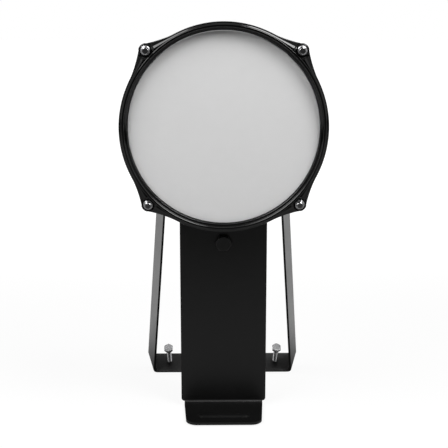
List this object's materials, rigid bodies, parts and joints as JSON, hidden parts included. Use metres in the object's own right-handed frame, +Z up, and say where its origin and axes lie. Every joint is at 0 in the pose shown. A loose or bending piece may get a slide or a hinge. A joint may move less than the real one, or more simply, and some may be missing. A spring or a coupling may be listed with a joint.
{
  "type": "kick drum practice pad",
  "caption": "Round mesh kick-drum practice pad in a glossy tension hoop, on a bent steel tower with a pedal tongue, a folded flat-bar brace and floor spurs.",
  "frame": {"origin": "on the floor, at the middle of the foot pad's underside below the pedal tongue", "axes": "+Z up, -Y out of the struck face towards the player, +X to the player's right when facing the pad"},
  "size_m": [0.2122, 0.1765, 0.4246],
  "materials": {
    "mesh": "light grey stretched mesh",
    "aluminium_ring": "plain mill finish",
    "gloss_black": "glossy black",
    "chrome": "bright plated",
    "brass": "plain",
    "shell_black": "matte moulded black",
    "zinc": "bright zinc plated",
    "foam": "open-cell foam",
    "satin_black": "satin black coat on steel",
    "rubber_black": "matte rubber",
    "black_oxide": "dark oxide"
  },
  "bodies": {
    "stand": {"mesh_head": "mesh", "flesh_hoop": "aluminium_ring", "tension_hoop": "gloss_black", "rod_washers": "chrome", "lug_inserts": "brass", "shell": "shell_black", "sensor_bar": "aluminium_ring", "sensor_screws": "zinc", "piezo_disc": "brass", "foam_cone": "foam", "jack_socket": "shell_black", "jack_nut": "chrome", "tower_plate": "satin_black", "foot_pad": "rubber_black", "pad_carrier": "satin_black", "shell_screws": "zinc", "clamp_bolt": "black_oxide", "clamp_washer": "zinc", "clamp_nut": "zinc", "brace": "satin_black", "brace_studs": "zinc", "brace_nuts": "zinc", "spur_nuts": "black_oxide"},
    "rod_tl": {"tension_rod_tl": "chrome"},
    "rod_tr": {"tension_rod_tr": "chrome"},
    "rod_bl": {"tension_rod_bl": "chrome"},
    "rod_br": {"tension_rod_br": "chrome"},
    "spur_l": {"spur_left": "zinc"},
    "spur_r": {"spur_right": "zinc"}
  },
  "joints": [
    {"name": "rod_tl_turn", "type": "hinge", "parent": "stand", "child": "rod_tl", "pos_m": [-0.07778, -0.01715, 0.39628], "axis": [0, 1, 0], "range_deg": [-720, 720]},
    {"name": "rod_tr_turn", "type": "hinge", "parent": "stand", "child": "rod_tr", "pos_m": [0.07778, -0.01715, 0.39628], "axis": [0, 1, 0], "range_deg": [-720, 720]},
    {"name": "rod_bl_turn", "type": "hinge", "parent": "stand", "child": "rod_bl", "pos_m": [-0.07778, -0.01715, 0.24072], "axis": [0, 1, 0], "range_deg": [-720, 720]},
    {"name": "rod_br_turn", "type": "hinge", "parent": "stand", "child": "rod_br", "pos_m": [0.07778, -0.01715, 0.24072], "axis": [0, 1, 0], "range_deg": [-720, 720]},
    {"name": "spur_l_feed", "type": "slide", "parent": "stand", "child": "spur_l", "axis": [0, -0.6691, 0.7431], "range_m": [-0.02, 0.004]},
    {"name": "spur_r_feed", "type": "slide", "parent": "stand", "child": "spur_r", "axis": [0, -0.6691, 0.7431], "range_m": [-0.02, 0.004]}
  ]
}
